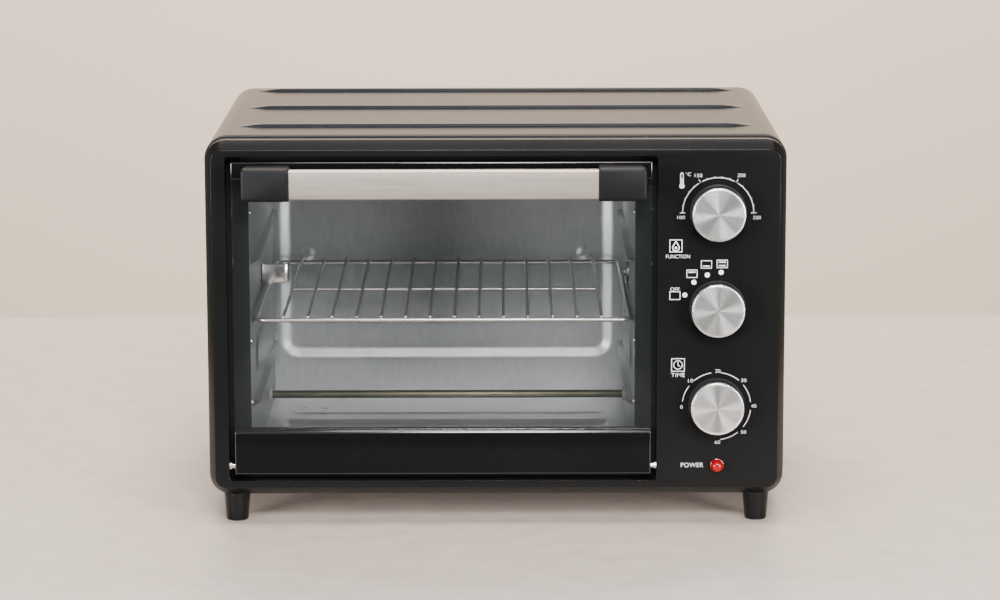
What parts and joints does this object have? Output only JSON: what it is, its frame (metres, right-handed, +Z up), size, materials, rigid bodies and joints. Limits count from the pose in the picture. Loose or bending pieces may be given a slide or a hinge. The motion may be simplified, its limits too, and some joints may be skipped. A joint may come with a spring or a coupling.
{
  "type": "toaster oven",
  "caption": "Countertop toaster oven with a drop-down glass door, bar handle, sliding wire rack, tube heaters and a side panel of turning controls on short feet.",
  "frame": {"origin": "on the table, under the middle of the whole oven's bounding box", "axes": "+X to the right seen from the front, +Y from the door to the back, +Z up"},
  "size_m": [0.4424, 0.353, 0.3012],
  "materials": {
    "housing_paint": "glossy black baked enamel",
    "front_moulding": "satin black moulding",
    "plate_paint": "black enamel",
    "galvanised_steel": "galvanised sheet",
    "cavity_steel": "aluminised steel sheet",
    "heater_sheath": "heat-tinted tube",
    "ceramic": "glazed ceramic",
    "bright_steel": "bright plated steel",
    "zinc_screws": "zinc plated",
    "foot_plastic": "moulded black plastic",
    "door_glass": "clear tempered glass",
    "door_rail_black": "glossy black enamel",
    "handle_steel": "brushed stainless steel",
    "cap_plastic": "matt black plastic",
    "rack_chrome": "chrome plated wire",
    "phenolic": "brown moulding",
    "timer_case": "plated steel case",
    "bell_brass": "brass dome",
    "knob_plastic": "moulded black plastic",
    "knob_metal": "spun aluminium",
    "lens_red": "clear red plastic",
    "lamp_glass": "small neon lamp",
    "wire_insulation": "braided insulation"
  },
  "bodies": {
    "oven": {"housing_wrap": "housing_paint", "front_frame": "front_moulding", "front_plate": "plate_paint", "base_pan": "galvanised_steel", "back_panel": "housing_paint", "cavity_left_wall": "cavity_steel", "cavity_right_wall": "cavity_steel", "cavity_roof": "cavity_steel", "cavity_floor": "cavity_steel", "cavity_back_wall": "cavity_steel", "heat_partition": "galvanised_steel", "heater_lower_front": "heater_sheath", "heater_lower_rear": "heater_sheath", "heater_upper_front": "heater_sheath", "heater_upper_rear": "heater_sheath", "heater_insulators": "ceramic", "spit_bracket": "bright_steel", "spit_hole_plug": "bright_steel", "cavity_screws": "bright_steel", "back_panel_screws": "zinc_screws", "base_screws": "zinc_screws", "foot_front_left": "foot_plastic", "foot_front_right": "foot_plastic", "foot_rear_left": "foot_plastic", "foot_rear_right": "foot_plastic", "foot_screws": "zinc_screws", "hinge_pin_left": "bright_steel", "hinge_pin_right": "bright_steel", "thermostat": "ceramic", "function_switch": "phenolic", "timer": "timer_case", "timer_bell": "bell_brass", "control_screws": "zinc_screws", "pilot_lens": "lens_red", "pilot_lamp": "lamp_glass", "cord_gland": "foot_plastic", "terminal_block": "ceramic", "internal_wires": "wire_insulation"},
    "door": {"door_glass": "door_glass", "door_bottom_rail": "door_rail_black", "door_top_rail": "door_rail_black", "handle_bar": "handle_steel", "handle_cap_left": "cap_plastic", "handle_cap_right": "cap_plastic", "handle_screws": "bright_steel", "hinge_springs": "bright_steel"},
    "rack": {"wire_rack": "rack_chrome"},
    "thermostat_dial": {"thermostat_shaft": "bright_steel", "thermostat_knob": "knob_plastic", "thermostat_knob_cap": "knob_metal"},
    "function_dial": {"function_shaft": "bright_steel", "function_knob": "knob_plastic", "function_knob_cap": "knob_metal"},
    "timer_dial": {"timer_shaft": "bright_steel", "timer_knob": "knob_plastic", "timer_knob_cap": "knob_metal"}
  },
  "joints": [
    {"name": "door_hinge", "type": "hinge", "parent": "oven", "child": "door", "pos_m": [0, -0.1375, 0.046], "axis": [1, 0, 0], "range_deg": [0, 90], "stiffness_Nm_per_rad": 0.12, "springref_deg": -68.75},
    {"name": "rack_slide", "type": "slide", "parent": "oven", "child": "rack", "axis": [0, -1, 0], "range_m": [0, 0.1415]},
    {"name": "thermostat_turn", "type": "hinge", "parent": "oven", "child": "thermostat_dial", "pos_m": [0.168, -0.1445, 0.2436], "axis": [0, 1, 0], "range_deg": [0, 180]},
    {"name": "function_turn", "type": "hinge", "parent": "oven", "child": "function_dial", "pos_m": [0.168, -0.1445, 0.17015], "axis": [0, 1, 0], "range_deg": [0, 95]},
    {"name": "timer_turn", "type": "hinge", "parent": "oven", "child": "timer_dial", "pos_m": [0.168, -0.1445, 0.0947], "axis": [0, 1, 0], "range_deg": [0, 270]}
  ],
  "couplings": [
    {"joint": "rack_slide", "follows": "door_hinge", "m_per_rad": 0.09}
  ]
}
